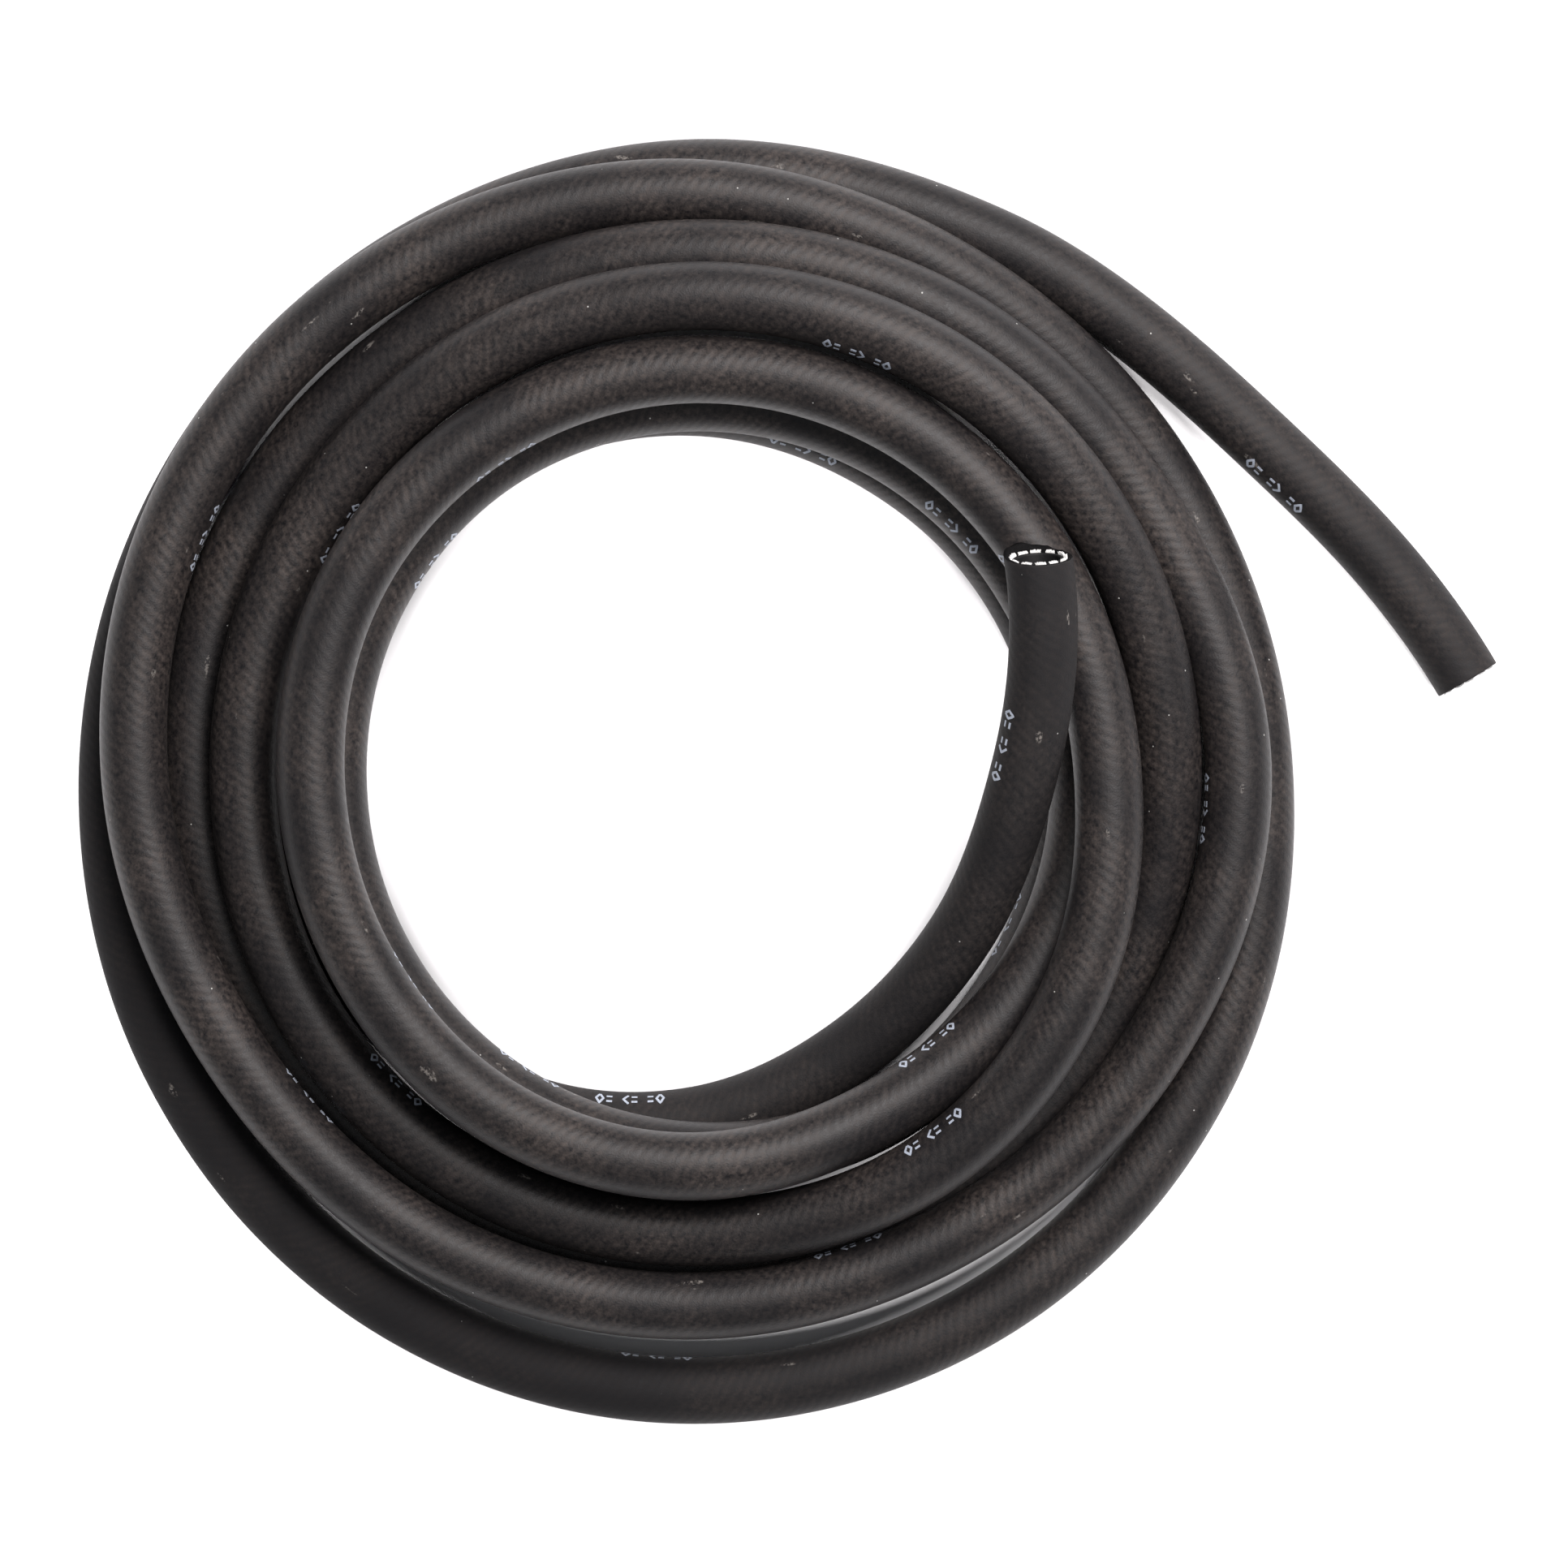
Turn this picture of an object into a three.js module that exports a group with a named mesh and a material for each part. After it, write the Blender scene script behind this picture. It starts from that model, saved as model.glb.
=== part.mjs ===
// A length of half-inch reinforced rubber hose, laid down as a loose flat coil of
// seven turns, with a tail that runs off the coil at one end and a free end lying on top
// at the other. Millimetres, +Z up. The origin is on the surface that the coil lies on,
// under the middle of its outline.
import * as THREE from "three";

// ---- Hose wall, across the flats of its faceted sections ------------------------------
const HOSE_DIAMETER = 20;
const WALL_GAP = 0.4;                // kept between the layers of the wall
const COVER_WALL = 1.25;
const BRAID_CORNER_RADIUS = HOSE_DIAMETER / 2 - COVER_WALL - WALL_GAP;
const BRAID_WALL = 0.4;
const TUBE_WALL = 0.8;
const COVER_SIDES = 12;
const LINING_SIDES = 8;

// ---- Yarn ends that stick out of each cut ---------------------------------------------
const YARNS = 12;
const YARN_RING_RADIUS = 8.13;
const YARN_THICKNESS = 0.6;
const YARN_WIDTH = 2.2;
const YARN_BURIED = 1.9;             // below the cut, in the groove between tube and cover
const YARN_PROUD = [1.3, 0.8, 1.1];  // past the cut, in turn round the ring
const BRAID_SETBACK = 2.6;           // the braid stops this far inside each cut

// ---- How the hose lies -----------------------------------------------------------------
// One row for each turn from the tail inwards, and one value every 30 degrees round the
// coil: the centre line's distance from the coil's middle, and its height.
const LAY_RADIUS = [
  [248, 200, 185, 181, 176, 173, 173, 177, 182, 185, 184, 179],
  [172, 169, 169, 173, 173, 170, 164, 158, 158, 158, 158, 161],
  [164, 158, 156, 154, 152, 151, 148, 146, 146, 147, 147, 145],
  [143, 143, 142, 140, 137, 134, 132, 133, 135, 136, 136, 131],
  [124, 122, 121, 119, 116, 113, 110, 110, 113, 115, 115, 118],
  [118, 116, 114, 112, 110, 107, 105, 106, 109, 113, 117, 116],
  [115, 113, 111, 112, 113, 115, 116, 115, 112, 104, 96, 94],
  [99, 119, 150],
].flat();
const LAY_HEIGHT = [
  [10, 10, 10, 10, 10, 10, 10, 10, 10, 10, 10, 10],
  [10, 10, 25, 31, 31, 31, 30, 28, 28, 28, 28, 26],
  [30, 29, 42, 43, 28, 13, 10, 10, 10, 10, 10, 10],
  [32, 47, 59, 59, 46, 30, 27, 28, 28, 29, 42, 52],
  [52, 52, 52, 52, 52, 52, 52, 52, 52, 52, 40, 32],
  [31, 31, 31, 31, 31, 31, 31, 31, 31, 31, 18, 10],
  [10, 10, 10, 10, 10, 10, 10, 10, 10, 10, 14, 34],
  [58, 75, 87],
].flat();
const LAY_STEP = 30;                 // degrees between two values of a row
const TAIL_ANGLE = 7;                // where the tail is cut
const TOP_ANGLE = 2551.5;            // where the free end on top is cut, seven turns on
const HEIGHT_BLEND = 14;             // degrees over which a change of height is eased
const COIL_CENTRE = { x: -30.48, y: 2.1 };
const STEPS_PER_TURN = 20;

const RUBBER_COVER = new THREE.MeshStandardMaterial({ color: 0x2b2a2b, roughness: 0.62 });
const RUBBER_TUBE = new THREE.MeshStandardMaterial({ color: 0x161617, roughness: 0.5 });
const BRAID_YARN = new THREE.MeshStandardMaterial({ color: 0xcfd0d2, roughness: 0.85 });
const CUT_YARN = new THREE.MeshStandardMaterial({ color: 0xecedee, roughness: 0.8 });

const radians = THREE.MathUtils.degToRad;

// The four values of a lay around an angle. Past either end the lay runs on straight.
function neighbours(values, angle) {
  const last = values.length - 1;
  const index = Math.min(Math.floor(angle / LAY_STEP), last - 1);
  const before = index > 0 ? values[index - 1] : 2 * values[0] - values[1];
  const after = index + 2 <= last ? values[index + 2] : 2 * values[last] - values[last - 1];
  const part = angle / LAY_STEP - index;
  return { around: [before, values[index], values[index + 1], after], part };
}

// Cubic from one value to the next, leaving and arriving with the given slopes.
function hermite(from, to, slopeOut, slopeIn, part) {
  const rest = 1 - part;
  const ends = from * (1 + 2 * part) * rest * rest + to * part * part * (3 - 2 * part);
  return ends + slopeOut * part * rest * rest - slopeIn * part * part * rest;
}

function radiusAt(angle) {
  const { around: [a, b, c, d], part } = neighbours(LAY_RADIUS, angle);
  return hermite(b, c, (c - a) / 2, (d - b) / 2, part);
}

// A slope that never carries the height past its neighbours, so nothing dips into what
// it lies on.
function gentleSlope(before, here, after) {
  const rise = here - before;
  const next = after - here;
  return rise * next > 0 ? (2 * rise * next) / (rise + next) : 0;
}

function levelAt(angle) {
  const limit = LAY_STEP * (LAY_HEIGHT.length - 1);
  const inside = THREE.MathUtils.clamp(angle, 0, limit);
  const { around: [a, b, c, d], part } = neighbours(LAY_HEIGHT, inside);
  return hermite(b, c, gentleSlope(a, b, c), gentleSlope(b, c, d), part);
}

function heightAt(angle) {
  const sides = levelAt(angle - HEIGHT_BLEND) + levelAt(angle + HEIGHT_BLEND);
  return levelAt(angle) / 2 + sides / 4;
}

function hosePoint(angle) {
  const radius = radiusAt(angle);
  return new THREE.Vector3(
    COIL_CENTRE.x + radius * Math.cos(radians(angle)),
    COIL_CENTRE.y + radius * Math.sin(radians(angle)),
    heightAt(angle),
  );
}

// Direction of the hose at an angle, with its own upward and sideways directions.
function hoseFrame(angle) {
  const reach = 0.25;
  const along = hosePoint(angle + reach).sub(hosePoint(angle - reach)).normalize();
  const up = new THREE.Vector3(0, 0, 1).addScaledVector(along, -along.z).normalize();
  const side = new THREE.Vector3().crossVectors(along, up);
  return { along, up, side };
}

// The hose's centre line as a curve through the given angles. Its sections stay upright,
// so a flat facet faces down wherever the hose lies level.
class HoseCurve extends THREE.Curve {
  constructor(angles) {
    super();
    this.angles = angles;
  }

  angleAt(share) {
    const place = share * (this.angles.length - 1);
    const index = Math.min(Math.floor(place), this.angles.length - 2);
    return THREE.MathUtils.lerp(this.angles[index], this.angles[index + 1], place - index);
  }

  getPoint(share) {
    return hosePoint(this.angleAt(share));
  }

  getUtoTmapping(share) {
    return share;
  }

  computeFrenetFrames(segments) {
    const frames = Array.from({ length: segments + 1 }, (_, step) =>
      hoseFrame(this.angleAt(step / segments)));
    return {
      tangents: frames.map((frame) => frame.along),
      normals: frames.map((frame) => frame.up),
      binormals: frames.map((frame) => frame.side),
    };
  }
}

// Angle turned by a short length of hose at one of its ends.
function angleOfLength(length, angle) {
  const perDegree = hosePoint(angle + 0.5).distanceTo(hosePoint(angle - 0.5));
  return length / perDegree;
}

// Every layer shares these steps, so the layers' facets nest inside each other.
const BRAID_START = TAIL_ANGLE + angleOfLength(BRAID_SETBACK, TAIL_ANGLE);
const BRAID_END = TOP_ANGLE - angleOfLength(BRAID_SETBACK, TOP_ANGLE);
const STEP_COUNT = Math.round(((BRAID_END - BRAID_START) * STEPS_PER_TURN) / 360);
const BRAID_ANGLES = Array.from({ length: STEP_COUNT + 1 }, (_, step) =>
  THREE.MathUtils.lerp(BRAID_START, BRAID_END, step / STEP_COUNT));
const HOSE_ANGLES = [TAIL_ANGLE, ...BRAID_ANGLES, TOP_ANGLE];

function polygonPoints(sides, cornerRadius) {
  return Array.from({ length: sides }, (_, corner) => {
    const turn = ((corner + 0.5) * 2 * Math.PI) / sides;
    return new THREE.Vector2(cornerRadius * Math.cos(turn), cornerRadius * Math.sin(turn));
  });
}

// One layer of the wall: a hollow faceted tube along the hose.
function hoseLayer(name, sides, outerCorner, innerCorner, angles, material) {
  const section = new THREE.Shape(polygonPoints(sides, outerCorner));
  section.holes.push(new THREE.Path(polygonPoints(sides, innerCorner).reverse()));
  const geometry = new THREE.ExtrudeGeometry(section, {
    steps: angles.length - 1,
    extrudePath: new HoseCurve(angles),
  });
  const layer = new THREE.Mesh(geometry, material);
  layer.name = name;
  return layer;
}

const cornerOf = (flatRadius, sides) => flatRadius / Math.cos(Math.PI / sides);
const flatOf = (cornerRadius, sides) => cornerRadius * Math.cos(Math.PI / sides);

function makeCover() {
  const outer = cornerOf(HOSE_DIAMETER / 2, COVER_SIDES);
  const inner = cornerOf(HOSE_DIAMETER / 2 - COVER_WALL, COVER_SIDES);
  return hoseLayer("outer_cover", COVER_SIDES, outer, inner, HOSE_ANGLES, RUBBER_COVER);
}

function makeBraid() {
  const innerFlat = flatOf(BRAID_CORNER_RADIUS, LINING_SIDES) - BRAID_WALL;
  const inner = cornerOf(innerFlat, LINING_SIDES);
  return hoseLayer(
    "yarn_reinforcement", LINING_SIDES, BRAID_CORNER_RADIUS, inner, BRAID_ANGLES, BRAID_YARN);
}

function makeInnerTube() {
  const outerFlat = flatOf(BRAID_CORNER_RADIUS, LINING_SIDES) - BRAID_WALL - WALL_GAP;
  const outer = cornerOf(outerFlat, LINING_SIDES);
  const bore = cornerOf(outerFlat - TUBE_WALL, LINING_SIDES);
  return hoseLayer("inner_tube", LINING_SIDES, outer, bore, HOSE_ANGLES, RUBBER_TUBE);
}

// The ring of cut yarn ends at one end of the hose. Each one stands in the groove between
// the inner tube and the cover, and leans neither way.
function makeYarnEnds(endName, angle, facing) {
  const ring = new THREE.Group();
  const { along, up, side } = hoseFrame(angle);
  const outward = along.clone().multiplyScalar(facing);
  for (let index = 0; index < YARNS; index += 1) {
    const turn = (index * 2 * Math.PI) / YARNS;
    const radial = up.clone().multiplyScalar(Math.cos(turn))
      .addScaledVector(side, Math.sin(turn));
    const across = new THREE.Vector3().crossVectors(outward, radial);
    const proud = YARN_PROUD[index % YARN_PROUD.length];
    const length = YARN_BURIED + proud;
    const strand = new THREE.CylinderGeometry(0.4, 0.5, length, 8);
    strand.scale(YARN_WIDTH, 1, YARN_THICKNESS);
    const yarn = new THREE.Mesh(strand, CUT_YARN);
    yarn.name = `yarn_end_${endName}_${String(index + 1).padStart(2, "0")}`;
    yarn.quaternion.setFromRotationMatrix(
      new THREE.Matrix4().makeBasis(across, outward, radial));
    yarn.position.copy(hosePoint(angle))
      .addScaledVector(radial, YARN_RING_RADIUS)
      .addScaledVector(outward, length / 2 - YARN_BURIED);
    ring.add(yarn);
  }
  return ring;
}

const coiledHose = new THREE.Group();
coiledHose.add(
  makeCover(),
  makeBraid(),
  makeInnerTube(),
  makeYarnEnds("tail", TAIL_ANGLE, -1),
  makeYarnEnds("top", TOP_ANGLE, 1),
);

export default coiledHose;
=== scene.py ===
"""Looks for a reinforced rubber hose that lies in a loose coil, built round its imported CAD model.

Everything is in metres in the model's own frame: +Z up, with the origin on the surface that the
coil lies on, under the middle of its outline. Lengths along the hose run from the tail, the end
that lies on the table, to the top, the end that lies on the coil.
"""
import math
import random

import bpy
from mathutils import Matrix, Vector, noise


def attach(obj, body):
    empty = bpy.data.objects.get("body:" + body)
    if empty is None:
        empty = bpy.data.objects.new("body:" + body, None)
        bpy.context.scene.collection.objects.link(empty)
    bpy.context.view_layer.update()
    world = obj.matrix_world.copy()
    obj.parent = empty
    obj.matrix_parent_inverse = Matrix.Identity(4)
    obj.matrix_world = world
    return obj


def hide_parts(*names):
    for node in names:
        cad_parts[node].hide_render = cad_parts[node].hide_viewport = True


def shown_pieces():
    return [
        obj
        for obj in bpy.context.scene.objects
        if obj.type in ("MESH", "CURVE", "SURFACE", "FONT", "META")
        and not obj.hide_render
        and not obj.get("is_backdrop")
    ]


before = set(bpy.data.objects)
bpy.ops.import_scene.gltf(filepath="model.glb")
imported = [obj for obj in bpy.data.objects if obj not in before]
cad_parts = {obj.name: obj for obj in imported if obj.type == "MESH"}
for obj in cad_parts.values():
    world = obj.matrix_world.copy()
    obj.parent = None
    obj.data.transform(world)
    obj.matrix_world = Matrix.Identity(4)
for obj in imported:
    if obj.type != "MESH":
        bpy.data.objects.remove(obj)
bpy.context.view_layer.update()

MM = 0.001

# ---- How the hose lies, as in the CAD model ---------------------------------------------
# One row for each turn from the tail inwards, and one value every 30 degrees round the coil:
# the centre line's distance from the coil's middle, and its height, in millimetres.
LAY_RADIUS = [
    248, 200, 185, 181, 176, 173, 173, 177, 182, 185, 184, 179,
    172, 169, 169, 173, 173, 170, 164, 158, 158, 158, 158, 161,
    164, 158, 156, 154, 152, 151, 148, 146, 146, 147, 147, 145,
    143, 143, 142, 140, 137, 134, 132, 133, 135, 136, 136, 131,
    124, 122, 121, 119, 116, 113, 110, 110, 113, 115, 115, 118,
    118, 116, 114, 112, 110, 107, 105, 106, 109, 113, 117, 116,
    115, 113, 111, 112, 113, 115, 116, 115, 112, 104, 96, 94,
    99, 119, 150,
]
LAY_HEIGHT = [
    10, 10, 10, 10, 10, 10, 10, 10, 10, 10, 10, 10,
    10, 10, 25, 31, 31, 31, 30, 28, 28, 28, 28, 26,
    30, 29, 42, 43, 28, 13, 10, 10, 10, 10, 10, 10,
    32, 47, 59, 59, 46, 30, 27, 28, 28, 29, 42, 52,
    52, 52, 52, 52, 52, 52, 52, 52, 52, 52, 40, 32,
    31, 31, 31, 31, 31, 31, 31, 31, 31, 31, 18, 10,
    10, 10, 10, 10, 10, 10, 10, 10, 10, 10, 14, 34,
    58, 75, 87,
]
LAY_STEP = 30                # degrees from one value to the next
TAIL_ANGLE = 7               # where the hose begins, in degrees of the lay
TOP_ANGLE = 2551.5           # where it ends
HEIGHT_BLEND = 14            # degrees each way over which heights are evened out
COIL_CENTRE = (-30.48, 2.1)  # millimetres
MEASURE_STEP = 0.5           # degrees between the points that lengths are measured on
DIRECTION_REACH = 0.25       # degrees each way to the points that give a direction

# ---- Wall of the hose, in metres --------------------------------------------------------
HOSE_DIAMETER = 0.020
COVER_RADIUS = HOSE_DIAMETER / 2
COVER_BORE = 0.00872
BRAID_RADIUS = 0.0084
BRAID_BORE = 0.0077
TUBE_RADIUS = 0.0075
TUBE_BORE = 0.0063
BRAID_SETBACK = 0.0026  # from the cut of the cover to the end of the yarn sleeve
TUBE_SETBACK = 0.0003   # and to the end of the inner tube
YARNS = 12


def neighbours(values, angle):
    """The four values of a lay around an angle. Past either end the lay runs on straight."""
    last = len(values) - 1
    index = min(int(angle // LAY_STEP), last - 1)
    before = values[index - 1] if index > 0 else 2 * values[0] - values[1]
    after = values[index + 2] if index + 2 <= last else 2 * values[last] - values[last - 1]
    return before, values[index], values[index + 1], after, angle / LAY_STEP - index


def hermite(start, end, slope_out, slope_in, part):
    """Cubic from one value to the next, leaving and arriving with the given slopes."""
    rest = 1 - part
    ends = start * (1 + 2 * part) * rest * rest + end * part * part * (3 - 2 * part)
    return ends + slope_out * part * rest * rest - slope_in * part * part * rest


def gentle_slope(before, here, after):
    """A slope that never carries the height past its neighbours."""
    rise, following = here - before, after - here
    return 2 * rise * following / (rise + following) if rise * following > 0 else 0


def radius_at(angle):
    before, start, end, after, part = neighbours(LAY_RADIUS, angle)
    return hermite(start, end, (end - before) / 2, (after - start) / 2, part)


def level_at(angle):
    inside = min(max(angle, 0), LAY_STEP * (len(LAY_HEIGHT) - 1))
    before, start, end, after, part = neighbours(LAY_HEIGHT, inside)
    slope_out = gentle_slope(before, start, end)
    slope_in = gentle_slope(start, end, after)
    return hermite(start, end, slope_out, slope_in, part)


def hose_point(angle):
    radius, turn = radius_at(angle), math.radians(angle)
    sides = level_at(angle - HEIGHT_BLEND) + level_at(angle + HEIGHT_BLEND)
    return MM * Vector((
        COIL_CENTRE[0] + radius * math.cos(turn),
        COIL_CENTRE[1] + radius * math.sin(turn),
        level_at(angle) / 2 + sides / 4,
    ))


def measured_route():
    """Angles along the hose, and the length of hose from the tail to each of them."""
    count = math.ceil((TOP_ANGLE - TAIL_ANGLE) / MEASURE_STEP)
    angles = [TAIL_ANGLE + (TOP_ANGLE - TAIL_ANGLE) * k / count for k in range(count + 1)]
    lengths, before = [0.0], hose_point(angles[0])
    for angle in angles[1:]:
        here = hose_point(angle)
        lengths.append(lengths[-1] + (here - before).length)
        before = here
    return angles, lengths


ROUTE_ANGLES, ROUTE_LENGTHS = measured_route()
HOSE_LENGTH = ROUTE_LENGTHS[-1]


def length_to(angle):
    """Length of hose from the tail to an angle."""
    place = (angle - TAIL_ANGLE) / (TOP_ANGLE - TAIL_ANGLE) * (len(ROUTE_ANGLES) - 1)
    index = min(max(int(place), 0), len(ROUTE_ANGLES) - 2)
    low, high = ROUTE_LENGTHS[index], ROUTE_LENGTHS[index + 1]
    return low + (high - low) * (place - index)


def angle_at(length):
    """The angle at a length along the hose, which is between its ends."""
    low, high = 0, len(ROUTE_LENGTHS) - 1
    while high - low > 1:
        middle = (low + high) // 2
        if ROUTE_LENGTHS[middle] <= length:
            low = middle
        else:
            high = middle
    share = (length - ROUTE_LENGTHS[low]) / (ROUTE_LENGTHS[high] - ROUTE_LENGTHS[low])
    return ROUTE_ANGLES[low] + share * (ROUTE_ANGLES[high] - ROUTE_ANGLES[low])


def station(length):
    """Centre of the hose at a length, with its directions along, upward and inward. A length
    past either end runs on straight."""
    inside = min(max(length, 0.0), HOSE_LENGTH)
    angle = angle_at(inside)
    ahead, behind = hose_point(angle + DIRECTION_REACH), hose_point(angle - DIRECTION_REACH)
    along = (ahead - behind).normalized()
    up = (Vector((0, 0, 1)) - along * along.z).normalized()
    return hose_point(angle) + along * (length - inside), along, up, up.cross(along)


def on_hose(place, turn, radius):
    """A point at a turn from the top of the hose towards the inside of the coil."""
    centre, _, up, inward = place
    return centre + radius * (math.cos(turn) * up + math.sin(turn) * inward)


# ---- Meshes ------------------------------------------------------------------------------
STRAIGHT = "straight"  # each vertex's place on the hose as if it were pulled straight
DUST_AND_SHADE = "dust_and_shade"          # how dusty and rubbed the cover is there, from 0 to 1; its low values on the first turn under the second paint shade


def new_piece(name, vertices, faces, straight=None, smooth=True):
    mesh = bpy.data.meshes.new(name)
    mesh.from_pydata(vertices, [], faces)
    if straight is not None:
        layer = mesh.attributes.new(STRAIGHT, "FLOAT_VECTOR", "POINT")
        layer.data.foreach_set("vector", [value for point in straight for value in point])
    mesh.polygons.foreach_set("use_smooth", [smooth] * len(mesh.polygons))
    mesh.update()
    piece = bpy.data.objects.new(name, mesh)
    bpy.context.scene.collection.objects.link(piece)
    return piece


def between_steps(steps, value):
    """Straight-line value between the two nearest of some (place, value) steps."""
    before = steps[0]
    for step in steps[1:]:
        if value <= step[0]:
            share = max(0.0, (value - before[0]) / (step[0] - before[0]))
            return before[1] + share * (step[1] - before[1])
        before = step
    return before[1]


def even_lengths(start, end, step):
    count = max(1, round((end - start) / step))
    return [start + (end - start) * k / count for k in range(count + 1)]


def hollow_hose(name, walls, sides, shift):
    """A closed hollow tube along the hose. walls lists (length, radius) for each ring, from
    the outside's first ring round both cut faces and back along the bore. shift moves a
    vertex along the hose and in radius. The sides are counted from the underside."""
    vertices, straight, faces = [], [], []
    for length, radius in walls:
        place = station(length)
        along = place[1]
        for side in range(sides):
            turn = 2 * math.pi * (side + 0.5) / sides + math.pi
            extra, growth = shift(length, radius, turn)
            grown = radius + growth
            vertices.append(on_hose(place, turn, grown) + along * extra)
            straight.append((grown * math.cos(turn), grown * math.sin(turn), length + extra))
    for ring in range(len(walls)):
        following = (ring + 1) % len(walls)
        for side in range(sides):
            beside = (side + 1) % sides
            faces.append((
                ring * sides + side,
                ring * sides + beside,
                following * sides + beside,
                following * sides + side,
            ))
    return new_piece(name, vertices, faces, straight)


def tube_walls(outside, bore, start, end, step, bore_step, edge):
    """Rings of a hollow tube: along the outside, over the far cut, back along the bore and
    over the near cut. Each cut's corners are taken off by edge, and the evenly spaced rings
    keep clear of them."""
    middle = (outside + bore) / 2
    first, last = start + 4 * edge, end - 4 * edge
    rings = [(start, outside - edge), (start + edge, outside)]
    rings += [(length, outside) for length in even_lengths(first, last, step)]
    rings += [(end - edge, outside), (end, outside - edge)]
    rings += [(end, middle)]
    rings += [(end, bore + edge), (end - edge, bore)]
    rings += [(length, bore) for length in even_lengths(last, first, -bore_step)]
    rings += [(start + edge, bore), (start, bore + edge)]
    rings += [(start, middle)]
    return rings


# ---- Camera and light --------------------------------------------------------------------
EYE_HEIGHT = 1.8
EYE_AT = (-0.001535, -0.000598)  # the point of the table that the camera is over
VIEW_WIDTH = 0.4739              # of the table, from edge to edge of the picture
VIEW_REACH = 50
SENSOR = 36                      # millimetres

camera = bpy.data.objects.new("camera", bpy.data.cameras.new("camera"))
camera.data.sensor_width = SENSOR
camera.data.lens = SENSOR * EYE_HEIGHT / VIEW_WIDTH
camera.data.clip_end = VIEW_REACH
camera.location = (*EYE_AT, EYE_HEIGHT)
bpy.context.scene.collection.objects.link(camera)
bpy.context.scene.camera = camera
bpy.context.scene.view_settings.view_transform = "Standard"


def area_light(name, place, size, power, colour):
    """A square light that faces the middle of the coil."""
    lamp = bpy.data.lights.new(name, "AREA")
    lamp.shape = "RECTANGLE"
    lamp.size = size
    lamp.size_y = size
    lamp.energy = power
    lamp.color = colour
    light = bpy.data.objects.new(name, lamp)
    light.location = place
    light.rotation_euler = (-Vector(place)).to_track_quat("-Z", "Y").to_euler()
    bpy.context.scene.collection.objects.link(light)
    return light


# The hose and the table each have their own lights, so that the table stays evenly bright
# while the hose keeps the contrast of one soft light from above and to one side.
HOSE_ONLY = bpy.data.collections.new("lit_by_key")
TABLE_ONLY = bpy.data.collections.new("lit_by_fill")
KEY_FROM = (0.38, 0.52, 1.10)
KEY_SIZE = 0.75
KEY_POWER = 26
KEY_COLOUR = (1.0, 0.95, 0.94)
OVERHEAD_FROM = (0, 0, 2.4)
OVERHEAD_SIZE = 2.0
OVERHEAD_POWER = 6.5
OVERHEAD_COLOUR = (0.97, 0.98, 1.0)
FILL_TURNS = (-30, 30, 150, 210)  # two suns from the -Y side and two from the +Y side
FILL_TILT = math.radians(27)      # away from straight down
FILL_SPREAD = math.radians(12)
FILL_ENERGY = 2.1
FILL_COLOUR = (1.0, 0.97, 0.98)
WORLD_COLOUR = (0.93, 0.95, 1.0, 1)
WORLD_STRENGTH = 0.22

key = area_light("key_softbox", KEY_FROM, KEY_SIZE, KEY_POWER, KEY_COLOUR)
overhead = area_light(
    "overhead_softbox", OVERHEAD_FROM, OVERHEAD_SIZE, OVERHEAD_POWER, OVERHEAD_COLOUR)
for light in (key, overhead):
    light.light_linking.receiver_collection = HOSE_ONLY
    light.visible_camera = False
for number, turn in enumerate(FILL_TURNS):
    lamp = bpy.data.lights.new(f"table_fill_{number + 1}", "SUN")
    lamp.energy = FILL_ENERGY
    lamp.color = FILL_COLOUR
    lamp.angle = FILL_SPREAD
    light = bpy.data.objects.new(lamp.name, lamp)
    light.rotation_euler = (FILL_TILT, 0, math.radians(turn))
    light.light_linking.receiver_collection = TABLE_ONLY
    bpy.context.scene.collection.objects.link(light)

world = bpy.data.worlds.new("studio")
bpy.context.scene.world = world
world.use_nodes = True
background = world.node_tree.nodes["Background"]
background.inputs["Color"].default_value = WORLD_COLOUR
background.inputs["Strength"].default_value = WORLD_STRENGTH


# ---- Materials ---------------------------------------------------------------------------
class Shader:
    """A material's node tree, with short ways to add and join nodes."""

    def __init__(self, name):
        self.material = bpy.data.materials.new(name)
        self.material.use_nodes = True
        self.tree = self.material.node_tree
        self.surface = self.tree.nodes["Principled BSDF"]

    def put(self, target, value):
        if isinstance(value, bpy.types.NodeSocket):
            self.tree.links.new(value, target)
        else:
            target.default_value = value

    def add(self, kind, inputs, output=0, **settings):
        node = self.tree.nodes.new(kind)
        for name, value in settings.items():
            setattr(node, name, value)
        for name, value in inputs.items():
            self.put(node.inputs[name], value)
        return node.outputs[output]

    def math(self, operation, *values):
        return self.add("ShaderNodeMath", dict(enumerate(values)), operation=operation)

    def between(self, value, low, high, to_low=0.0, to_high=1.0):
        inputs = {"Value": value, "From Min": low, "From Max": high,
                  "To Min": to_low, "To Max": to_high}
        return self.add("ShaderNodeMapRange", inputs)

    def mix(self, share, first, second):
        inputs = {0: share, 6: first, 7: second}
        return self.add("ShaderNodeMix", inputs, output=2, data_type="RGBA")

    def noise(self, vector, scale, detail=2.0, roughness=0.5):
        inputs = {"Vector": vector, "Scale": scale, "Detail": detail, "Roughness": roughness}
        return self.add("ShaderNodeTexNoise", inputs)

    def bump(self, height, strength, distance):
        inputs = {"Strength": strength, "Distance": distance, "Height": height}
        return self.add("ShaderNodeBump", inputs)

    def stretched(self, vector, factors):
        return self.add("ShaderNodeVectorMath", {0: vector, 1: factors}, operation="MULTIPLY")

    def attribute(self, name, output):
        return self.add("ShaderNodeAttribute", {}, output=output, attribute_name=name)

    def set(self, **inputs):
        for name, value in inputs.items():
            self.put(self.surface.inputs[name.replace("_", " ")], value)


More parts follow.
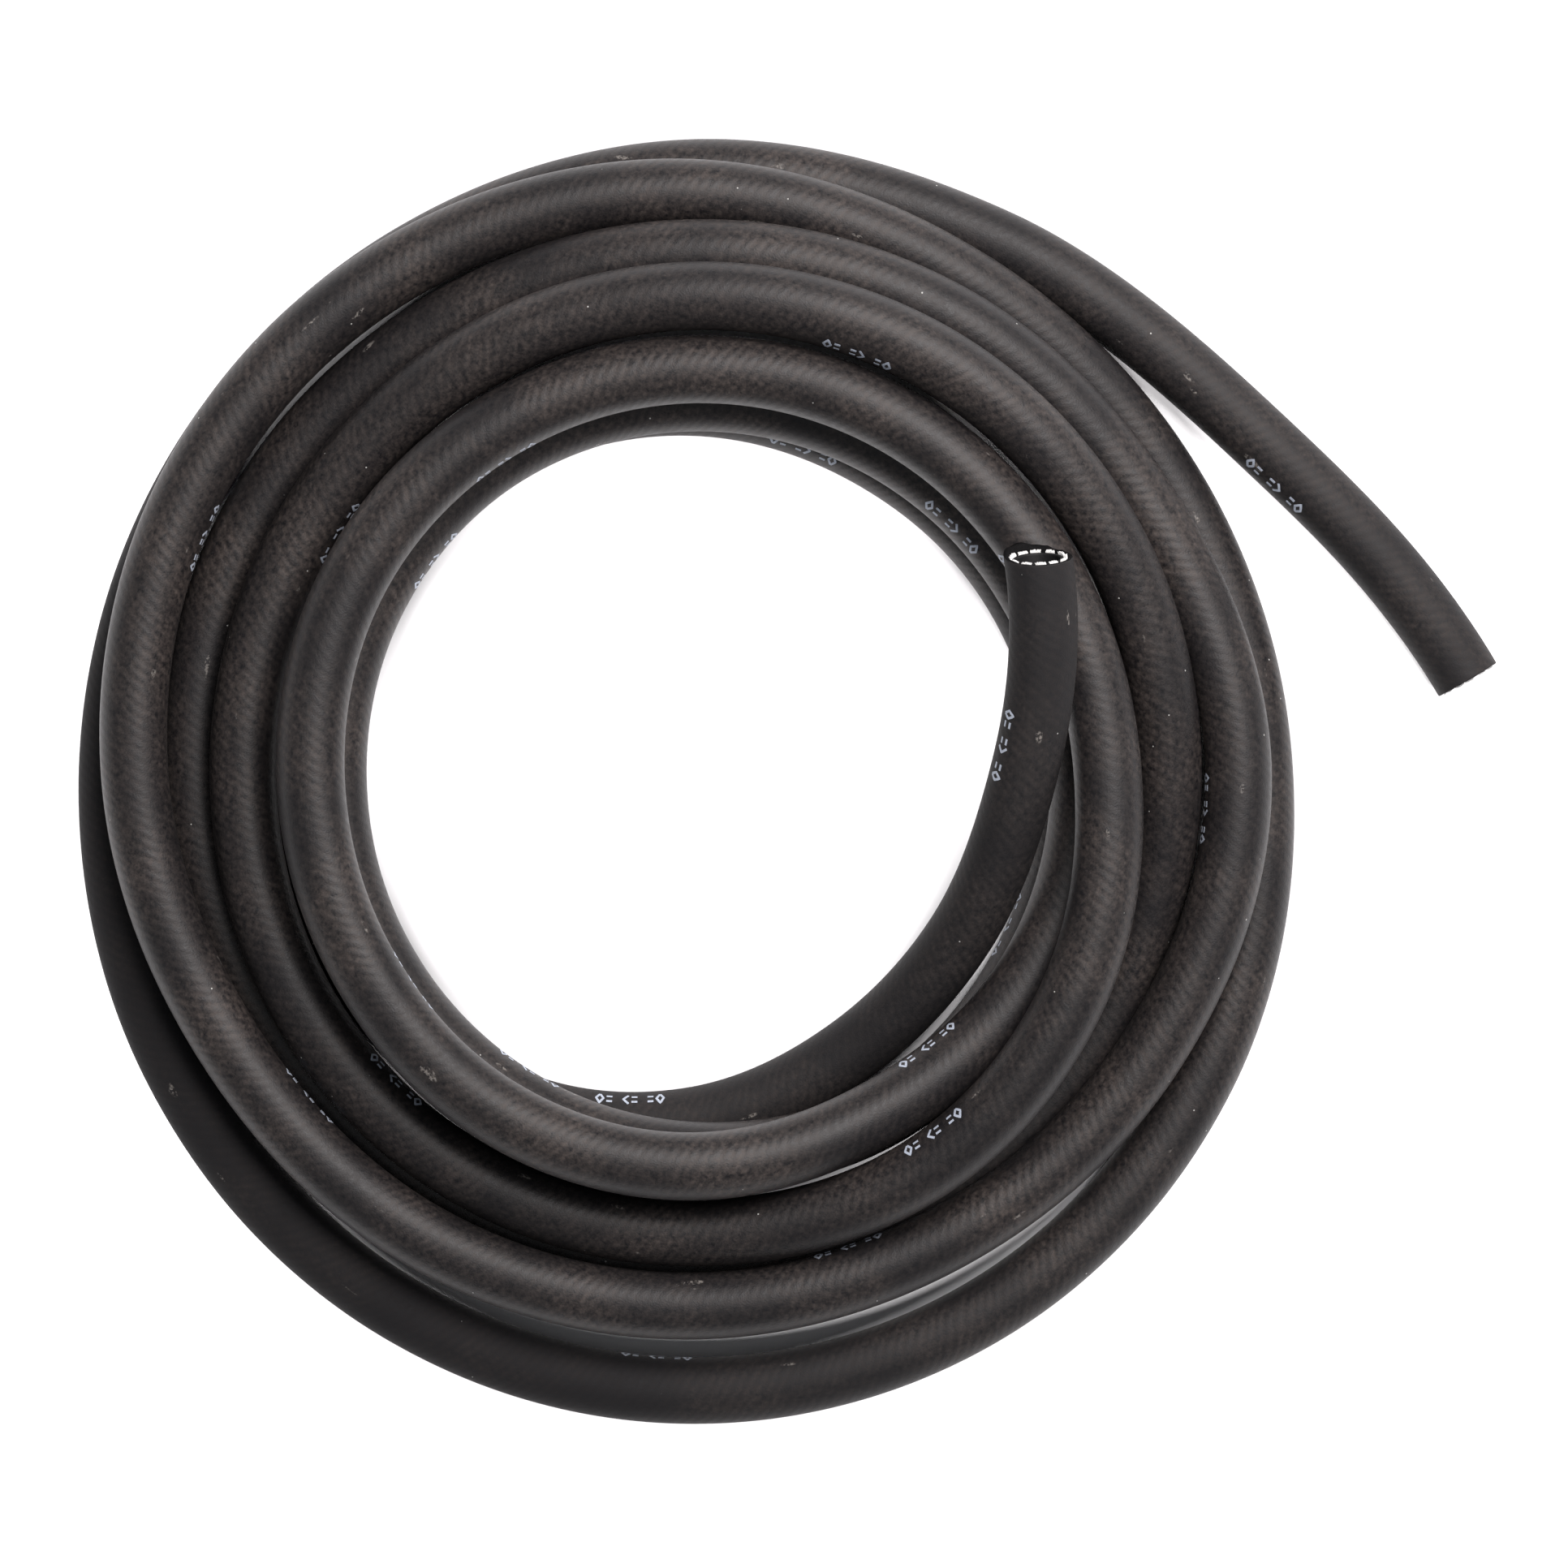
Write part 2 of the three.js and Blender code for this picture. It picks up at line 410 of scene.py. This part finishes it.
RIDGE_PITCH = 0.0402  # length of hose in which one yarn goes round once


def ridge_wave(shader, vector, wander):
    """1 on each ridge that the yarns raise in the cover, and 0 between them."""
    parts = shader.tree.nodes.new("ShaderNodeSeparateXYZ")
    shader.put(parts.inputs[0], vector)
    turn = shader.math("ARCTAN2", parts.outputs["Y"], parts.outputs["X"])
    around = shader.math("MULTIPLY", turn, YARNS)
    along = shader.math("MULTIPLY", parts.outputs["Z"], 2 * math.pi * YARNS / RIDGE_PITCH)
    phase = shader.math("ADD", shader.math("SUBTRACT", around, along), wander)
    return shader.between(shader.math("SINE", phase), -1, 1)


DARK_RUBBER = (0.0072, 0.0068, 0.0078, 1)
DUSTY_RUBBER = (0.078, 0.063, 0.056, 1)
SCUFF = (0.26, 0.24, 0.22, 1)
SPECK = (0.50, 0.50, 0.48, 1)
SPECULAR = 0.30
ROUGHNESS = (0.43, 0.60)        # where the fine dust is thinnest and thickest
ROUGHER_WHERE_DUST_AND_SHADE_IS_LOW = 0.50            # roughness added where the dust_and_shade value is 0; on the first turn under the second it dulls the highlight as part of the painted shade

# How fine each noise is, in cells to a metre.
PATCH_SCALE = 34
WANDER_SCALE = 90
SPECK_SCALE = 150.0
BLOTCH_SCALE = 560
FLAKE_SCALE = 1100
GRAIN_SCALE = 1700
SCUFF_SCALES = (240, 240, 70)   # across the hose, and coarser along it

# Low and high ends of a noise that become 0 and 1.
PATCH_ENDS = (0.36, 0.66)
BLOTCH_ENDS = (0.34, 0.76)
FLAKE_ENDS = (0.46, 0.60)
SCUFF_ENDS = (0.765, 0.80)
SPECK_CHOICE = (0.60, 0.62)     # only cells with a brighter random colour have a speck

SPECK_RIM = (0.030, 0.045)      # where a speck fades out, from its cell's middle, in cells

RIDGE_WANDER = 2.2              # most radians that a ridge strays from an even spiral
RIDGE_DUST = (0.66, 1)          # dust between the ridges and on them
PATCH_DUST = (0.25, 1)          # dust in the cleanest and the dustiest patches
PATCH_RIDGES = (0.4, 1)         # height of the ridges in the same patches
SPECK_COVER = 0.75
SCUFF_COVER = 0.6
GRAIN_SHARE = 1.3               # height of the grain, with the ridges as 1
COVER_RELIEF = 0.00006


def cover_rubber():
    shader = Shader("cover_rubber")
    place = shader.attribute(STRAIGHT, "Vector")
    # The dust_and_shade attribute: dust along the hose, and painted shade on the first turn where
    # the second hangs over it.
    dust_and_shade = shader.attribute(DUST_AND_SHADE, "Fac")
    patch = shader.between(shader.noise(place, PATCH_SCALE, detail=3), *PATCH_ENDS)
    blotch = shader.noise(place, BLOTCH_SCALE, detail=5, roughness=0.70)
    blotch = shader.between(blotch, *BLOTCH_ENDS)
    grain = shader.noise(place, GRAIN_SCALE, detail=3, roughness=0.6)
    wander = shader.noise(place, WANDER_SCALE, detail=3)
    wander = shader.between(wander, 0, 1, -RIDGE_WANDER, RIDGE_WANDER)
    ridge = ridge_wave(shader, place, wander)

    dusty = shader.math("MULTIPLY", shader.between(ridge, 0, 1, *RIDGE_DUST), blotch)
    dust_and_shade_share = shader.math("MULTIPLY", dusty, shader.between(patch, 0, 1, *PATCH_DUST))
    # Where the dust_and_shade value is low the cover gets less of the dusty colour and turns
    # darker, which on the first turn under the second is painted shade.
    dust_and_shade_share = shader.math("MULTIPLY", dust_and_shade_share, dust_and_shade)
    colour = shader.mix(dust_and_shade_share, DARK_RUBBER, DUSTY_RUBBER)

    distance = shader.add("ShaderNodeTexVoronoi", {"Vector": place, "Scale": SPECK_SCALE})
    chance = distance.node.outputs["Color"]
    near = shader.between(distance, *SPECK_RIM, 1, 0)
    speck = shader.math("MULTIPLY", near, shader.between(chance, *SPECK_CHOICE))
    colour = shader.mix(shader.math("MULTIPLY", speck, SPECK_COVER), colour, SPECK)

    rubbed = shader.noise(shader.stretched(place, SCUFF_SCALES), 1.0, detail=1)
    flaky = shader.noise(place, FLAKE_SCALE, detail=3, roughness=0.6)
    flaky = shader.between(flaky, *FLAKE_ENDS)
    scuff = shader.math("MULTIPLY", shader.between(rubbed, *SCUFF_ENDS), flaky)
    colour = shader.mix(shader.math("MULTIPLY", scuff, SCUFF_COVER), colour, SCUFF)

    dull = shader.between(blotch, 0, 1, *ROUGHNESS)
    # The same low values also make the cover rougher, dulling its highlight where shade is painted.
    rough = shader.math("ADD", dull, shader.between(dust_and_shade, 0, 1, ROUGHER_WHERE_DUST_AND_SHADE_IS_LOW, 0.0))
    raised = shader.math("MULTIPLY", ridge, shader.between(patch, 0, 1, *PATCH_RIDGES))
    height = shader.math("ADD", raised, shader.math("MULTIPLY", grain, GRAIN_SHARE))
    bump = shader.bump(height, strength=1.0, distance=COVER_RELIEF)
    shader.set(Base_Color=colour, Roughness=rough, Normal=bump, Specular_IOR_Level=SPECULAR)
    return shader.material


PLAIN_ENDS = (0.35, 0.65)       # of the grain's noise, from its darkest places to its brightest


def plain(name, colour, roughness, grain, relief, evenness=0.72, specular=0.5):
    """A material with one fine grain in its colour and its relief. grain is its cells to a
    metre, relief its height, and evenness how bright the darkest places are, as a share of
    the brightest."""
    shader = Shader(name)
    place = shader.add("ShaderNodeTexCoord", {}, output="Object")
    cells = shader.noise(place, grain, detail=4, roughness=0.6)
    dim = tuple(value * evenness for value in colour)
    tone = shader.mix(shader.between(cells, *PLAIN_ENDS), (*dim, 1), (*colour, 1))
    bump = shader.bump(cells, strength=0.8, distance=relief)
    shader.set(Base_Color=tone, Roughness=roughness, Normal=bump, Specular_IOR_Level=specular)
    return shader.material


COVER_RUBBER = cover_rubber()
CUT_RUBBER = plain("cut_rubber", (0.0050, 0.0047, 0.0052), roughness=0.75, grain=1300,
                   relief=0.0003, evenness=0.5, specular=0.10)
TUBE_RUBBER = plain("tube_rubber", (0.0095, 0.0092, 0.0100), roughness=0.6, grain=1400,
                    relief=0.00008, evenness=0.7, specular=0.25)
BRAID_YARN = plain("braid_yarn", (0.55, 0.55, 0.54), roughness=0.85, grain=2500,
                   relief=0.0001)
CUT_YARN = plain("cut_yarn", (0.86, 0.86, 0.85), roughness=0.8, grain=3500, relief=0.00004)
PRINT_INK = plain("print_ink", (0.46, 0.51, 0.60), roughness=0.6, grain=1800, relief=0.00002)
FLOOR_PAPER = plain("floor_paper", (0.86, 0.86, 0.86), roughness=0.9, grain=60,
                    relief=0.00001, evenness=0.99)


# ---- The hose ----------------------------------------------------------------------------
SWELL = 0.00007            # most that the cover stands above or below its radius
SWELL_ROUND = 0.9          # noise cells to a radius, round the hose
SWELL_ALONG = 28           # and to a metre, along it
SLANT_LOW = 0.08           # the top end's cut reaches further out on its low side
SLANT_INNER = 0.10         # and towards the inside of the coil, as shares of the radius
SLANT_REACH = 0.012        # length of hose that the slant is spread over
RAGGED_EVEN = 0.00012      # how ragged a cut is all round
RAGGED_LOW = 0.0006        # and how much more at its lowest point
RAGGED_ROUND = 4           # noise cells to a radius, round the cut
RAGGED_ACROSS = 900        # and to a metre, across the wall
RAGGED_OFFSET = 9          # sets the top end's tears apart from the tail's
LIP = 0.0024               # the cover stands out past the top end's cut on one side
LIP_TURN = 0.78 * math.pi  # where it stands out furthest, low and towards the inside
COVER_STEP = 0.0035
COVER_SIDES = 40
LINING_STEP = 0.012
LINING_SIDES = 24
EDGE = 0.00012


def swell(length, turn):
    """The cover isn't quite even along its length or round it."""
    up, inward = math.cos(turn) * SWELL_ROUND, math.sin(turn) * SWELL_ROUND
    return SWELL * noise.noise(Vector((up, inward, length * SWELL_ALONG)))


def slant(length, radius, turn):
    """The top end wasn't cut quite square: how far the cut moves along the hose there. The
    shift fades out over the last part of the hose."""
    fade = max(0.0, 1 - (HOSE_LENGTH - length) / SLANT_REACH)
    low, inner = -math.cos(turn), math.sin(turn)
    return fade * radius * (SLANT_LOW * low + SLANT_INNER * inner)


def cover_shift(length, radius, turn):
    """The cover's outside is a little uneven, and its cut faces are torn."""
    lumps = swell(length, turn) if radius > COVER_BORE + 2 * EDGE else 0.0
    at_tail = length < HOSE_LENGTH / 2
    at_cut = min(length, HOSE_LENGTH - length) < EDGE / 2
    outward = -1 if at_tail else 1
    offset = 0 if at_tail else RAGGED_OFFSET
    ragged = noise.noise(Vector((
        math.cos(turn) * RAGGED_ROUND,
        math.sin(turn) * RAGGED_ROUND,
        radius * RAGGED_ACROSS + offset,
    )))
    low_side = 0.5 - 0.5 * math.cos(turn)
    lip = 0.0 if at_tail else LIP * (0.5 + 0.5 * math.cos(turn - LIP_TURN)) ** 3
    torn = RAGGED_EVEN + RAGGED_LOW * low_side
    extra = outward * (lip + torn * ragged) if at_cut else 0.0
    return extra + slant(length, radius, turn), lumps


def slant_only(length, radius, turn):
    return slant(length, radius, turn), 0.0


cover_walls = tube_walls(
    COVER_RADIUS, COVER_BORE, 0.0, HOSE_LENGTH, COVER_STEP, LINING_STEP, EDGE)
cover = hollow_hose("outer_cover_rubber", cover_walls, COVER_SIDES, cover_shift)
cover.data.materials.append(COVER_RUBBER)
cover.data.materials.append(CUT_RUBBER)
# A face with both its rings inside the cover's radius is in a cut or in the bore.
inside_rings = [radius < COVER_RADIUS for _, radius in cover_walls]
for ring, inside in enumerate(inside_rings):
    if inside and inside_rings[(ring + 1) % len(inside_rings)]:
        for side in range(COVER_SIDES):
            cover.data.polygons[ring * COVER_SIDES + side].material_index = 1
# Angle along the hose, and how dusty the cover is there. Between about 165 and 255 degrees, where
# the second turn hangs over the first, the low values are painted shade: they make the first turn
# darker and rougher in place of the shadow of the turn above. The cover is also made darker and
# rougher near the tail and towards the free end on top.
DUST_AND_SHADE_STEPS = [
    (TAIL_ANGLE, 0.6), (70, 1.0), (120, 1.0), (165, 0.3), (255, 0.25), (292, 0.7), (330, 1.0),
    (2300, 1.0), (2400, 0.6), (TOP_ANGLE, 0.45),
]
dust_and_shade_layer = cover.data.attributes.new(DUST_AND_SHADE, "FLOAT", "POINT")
dust_and_shade_layer.data.foreach_set("value", [
    between_steps(DUST_AND_SHADE_STEPS, angle_at(min(max(item.vector[2], 0.0), HOSE_LENGTH)))
    for item in cover.data.attributes[STRAIGHT].data])

braid = hollow_hose(
    "yarn_sleeve",
    tube_walls(BRAID_RADIUS, BRAID_BORE, BRAID_SETBACK, HOSE_LENGTH - BRAID_SETBACK,
               LINING_STEP, LINING_STEP, EDGE),
    LINING_SIDES, slant_only)
braid.data.materials.append(BRAID_YARN)

tube = hollow_hose(
    "inner_tube_rubber",
    tube_walls(TUBE_RADIUS, TUBE_BORE, TUBE_SETBACK, HOSE_LENGTH - TUBE_SETBACK,
               LINING_STEP, LINING_STEP, EDGE),
    LINING_SIDES, slant_only)
tube.data.materials.append(TUBE_RUBBER)

# ---- Cut yarns ---------------------------------------------------------------------------
YARN_RING = 0.0081              # from the hose's centre line to the middle of each yarn
YARN_ARC = 0.0030               # width of one cut yarn round the ring
YARN_DEPTH = 0.0006             # its thickness across the wall
YARN_BURIED = 0.0019            # how deep its strands start inside the wall
YARN_SEEDS = {"tail": 3, "top": 7}
YARN_STRAY = 0.03               # most radians that a yarn is off its even place
YARN_NARROWEST = 0.82           # as a share of YARN_ARC
YARN_PROUD = (0.0003, 0.0006)   # least and most that it stands out of the cut
YARN_TILT = 0.05                # most radians that all its strands lean over
YARN_CROWN = 1.1                # how fast they get shorter towards its sides
FIBRES_ACROSS = 12
FIBRE_ROWS = 3
FIBRE_RADIUS = 0.00015
FIBRE_SIDES = 6
FIBRE_RINGS = 6
FIBRE_TIP_FROM = 0.9            # the tip begins at this share of a strand's length
FIBRE_TIP = 0.62                # its thickness there, with the rest as 1
FIBRE_STRAY = 0.006             # most radians that a strand is off its even place
FIBRE_TILT = 0.02               # most radians that it leans over by itself
FIBRE_SPREAD = 0.0002           # most that it leans towards the bore or away from it
FIBRE_UNEVEN = 0.00014          # most that it ends further out or in


def either_way(draw, most):
    return draw.uniform(-most, most)


def fibre(start_turn, ring_radius, end_length, outward, lean, proud, vertices, faces):
    """One strand from inside the wall to past the cut, leaning over as it comes out."""
    base = len(vertices)
    for ring in range(FIBRE_RINGS):
        share = ring / (FIBRE_RINGS - 1)
        depth = -YARN_BURIED + share * (YARN_BURIED + proud)
        bent = max(0.0, depth) / proud
        turn = start_turn + lean[0] * bent * bent
        length = end_length + outward * depth
        place = station(length)
        _, along, up, inward = place
        middle = on_hose(place, turn, ring_radius + lean[1] * bent * bent)
        middle += along * slant(min(length, HOSE_LENGTH), YARN_RING, turn)
        radial = math.cos(turn) * up + math.sin(turn) * inward
        across = along.cross(radial)
        thick = FIBRE_RADIUS * (1.0 if share < FIBRE_TIP_FROM else FIBRE_TIP)
        for side in range(FIBRE_SIDES):
            spin = 2 * math.pi * side / FIBRE_SIDES
            vertices.append(middle + thick * (math.cos(spin) * radial + math.sin(spin) * across))
    for ring in range(FIBRE_RINGS - 1):
        for side in range(FIBRE_SIDES):
            beside = (side + 1) % FIBRE_SIDES
            low, high = base + ring * FIBRE_SIDES, base + (ring + 1) * FIBRE_SIDES
            faces.append((low + side, low + beside, high + beside, high + side))
    faces.append(tuple(base + side for side in reversed(range(FIBRE_SIDES))))
    top = base + (FIBRE_RINGS - 1) * FIBRE_SIDES
    faces.append(tuple(top + side for side in range(FIBRE_SIDES)))


def cut_yarn(end_name, number, end_length, outward):
    """The tuft of strands that one yarn ends in. outward is the way out of the cut along the
    hose, -1 or 1."""
    draw = random.Random(100 * number + YARN_SEEDS[end_name])
    vertices, faces = [], []
    middle_turn = 2 * math.pi * (number - 1) / YARNS + either_way(draw, YARN_STRAY)
    wide = YARN_ARC * draw.uniform(YARN_NARROWEST, 1.0)
    tall = draw.uniform(*YARN_PROUD)
    tilt = either_way(draw, YARN_TILT)
    for column in range(FIBRES_ACROSS):
        share = column / (FIBRES_ACROSS - 1) - 0.5
        for row in range(FIBRE_ROWS):
            layer = (row / (FIBRE_ROWS - 1) - 0.5) * (YARN_DEPTH - 2 * FIBRE_RADIUS)
            turn = middle_turn + share * wide / YARN_RING + either_way(draw, FIBRE_STRAY)
            lean = (tilt + either_way(draw, FIBRE_TILT), either_way(draw, FIBRE_SPREAD))
            proud = tall * (1 - YARN_CROWN * share * share) + either_way(draw, FIBRE_UNEVEN)
            fibre(turn, YARN_RING + layer, end_length, outward, lean, proud, vertices, faces)
    piece = new_piece(f"cut_yarn_{end_name}_{number:02d}", vertices, faces)
    piece.data.materials.append(CUT_YARN)
    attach(piece, "root")
    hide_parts(f"yarn_end_{end_name}_{number:02d}")
    return piece


cut_yarns = [cut_yarn("tail", number, 0.0, -1) for number in range(1, YARNS + 1)]
cut_yarns += [cut_yarn("top", number, HOSE_LENGTH, 1) for number in range(1, YARNS + 1)]

# ---- Printed marks -----------------------------------------------------------------------
# A print of plain shapes that repeats along the cover. Its shapes and its size are in
# millimetres, along the hose and up the print.
FIRST_MARK_ANGLE, LAST_MARK_ANGLE = 27, 2525
MARK_GAPS = 32        # between the first mark and the last
MARK_PROUD = 0.00004  # of the cover, in metres
MARK_SUNK = 0.00006   # into the cover
MARK_STROKE = 0.38    # half the width of a stroke
MARK_STEP = 0.5       # between the points that bend a stroke round the cover
DIAMOND = [(1.2, 0.2), (2.4, 2.2), (1.2, 4.2), (0.0, 2.2), (1.2, 0.2)]
CHEVRON = [(2.0, 4.1), (0.3, 2.2), (2.0, 0.3)]
LOW_DASH = [(0.0, 1.1), (1.9, 1.1)]
HIGH_DASH = [(0.0, 3.3), (1.9, 3.3)]
PRINT = [
    (0, DIAMOND), (3.4, LOW_DASH), (3.4, HIGH_DASH),
    (8.6, CHEVRON), (11.6, LOW_DASH), (11.6, HIGH_DASH),
    (16.8, LOW_DASH), (16.8, HIGH_DASH), (19.7, DIAMOND),
]
PRINT_LENGTH, PRINT_HEIGHT = 22.1, 4.4
# Angle along the hose, and how far round from the top of the hose, towards the inside of the
# coil, the print lies there. The hose is slightly twisted, so it wanders.
ROLL_STEPS = [
    (7, 49), (60, 60), (268, 84), (323, 86), (400, 97), (450, 98), (510, 80), (580, 88),
    (652, 76), (718, 78), (900, 82), (1060, 70), (1139, 64), (1218, 68), (1302, 64),
    (1386, 50), (1480, 76), (1560, 84), (1660, 93), (1753, 62), (1800, 56), (1843, 48),
    (1940, 78), (2042, 84), (2132, 80), (2180, 60), (2227, 48), (2417, 54), (2552, 54),
]


def print_roll(length):
    return math.radians(between_steps(ROLL_STEPS, angle_at(length)))


def bent(points):
    """The same stroke with more points."""
    finer = [points[0]]
    for start, end in zip(points, points[1:]):
        count = math.ceil(math.dist(start, end) / MARK_STEP)
        finer += [(start[0] + (end[0] - start[0]) * k / count,
                   start[1] + (end[1] - start[1]) * k / count) for k in range(1, count + 1)]
    return finer


def print_stroke(points, start, roll, vertices, faces):
    """One stroke of the print, as a thin closed strip bent round the cover."""
    base, last = len(vertices), len(points) - 1
    corners = ((-1, -MARK_SUNK), (1, -MARK_SUNK), (1, MARK_PROUD), (-1, MARK_PROUD))
    for index, (across, up) in enumerate(points):
        before, after = points[max(index - 1, 0)], points[min(index + 1, last)]
        run = Vector((after[0] - before[0], after[1] - before[1])).normalized()
        for edge, lift in corners:
            shift = edge * MARK_STROKE
            length = start + MM * (across - shift * run.y)
            height = MM * (up + shift * run.x - PRINT_HEIGHT / 2)
            turn = roll - height / COVER_RADIUS
            radius = COVER_RADIUS + swell(length, turn) + lift
            vertices.append(on_hose(station(length), turn, radius))
    for index in range(last):
        low = base + 4 * index
        for corner in range(4):
            beside = (corner + 1) % 4
            faces.append((low + corner, low + beside, low + 4 + beside, low + 4 + corner))
    faces.append(tuple(base + corner for corner in (3, 2, 1, 0)))
    faces.append(tuple(base + 4 * last + corner for corner in (0, 1, 2, 3)))


def printed_marks():
    vertices, faces = [], []
    first, last = length_to(FIRST_MARK_ANGLE), length_to(LAST_MARK_ANGLE)
    for number in range(MARK_GAPS + 1):
        middle = first + (last - first) * number / MARK_GAPS
        start = middle - MM * PRINT_LENGTH / 2
        for offset, shape in PRINT:
            placed = [(offset + across, up) for across, up in bent(shape)]
            print_stroke(placed, start, print_roll(middle), vertices, faces)
    piece = new_piece("printed_marks", vertices, faces, smooth=False)
    piece.data.materials.append(PRINT_INK)
    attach(piece, "root")


printed_marks()

for piece, slot_name, node in (
    (cover, "cover_rubber", "outer_cover"),
    (braid, "reinforcement_yarn", "yarn_reinforcement"),
    (tube, "tube_rubber", "inner_tube"),
):
    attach(piece, "root")
    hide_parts(node)

# ---- Floor -------------------------------------------------------------------------------
FLOOR_HALF = 3.0     # half the length of a side
FLOOR_DROP = 0.0002  # keeps the floor clear of the underside of the hose
floor_corners = [
    (x * FLOOR_HALF, y * FLOOR_HALF, -FLOOR_DROP)
    for x, y in ((-1, -1), (1, -1), (1, 1), (-1, 1))
]
floor = new_piece("floor", floor_corners, [(0, 1, 2, 3)], smooth=False)
floor.data.materials.append(FLOOR_PAPER)
floor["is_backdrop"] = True

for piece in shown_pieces():
    HOSE_ONLY.objects.link(piece)
TABLE_ONLY.objects.link(floor)

bpy.context.view_layer.update()
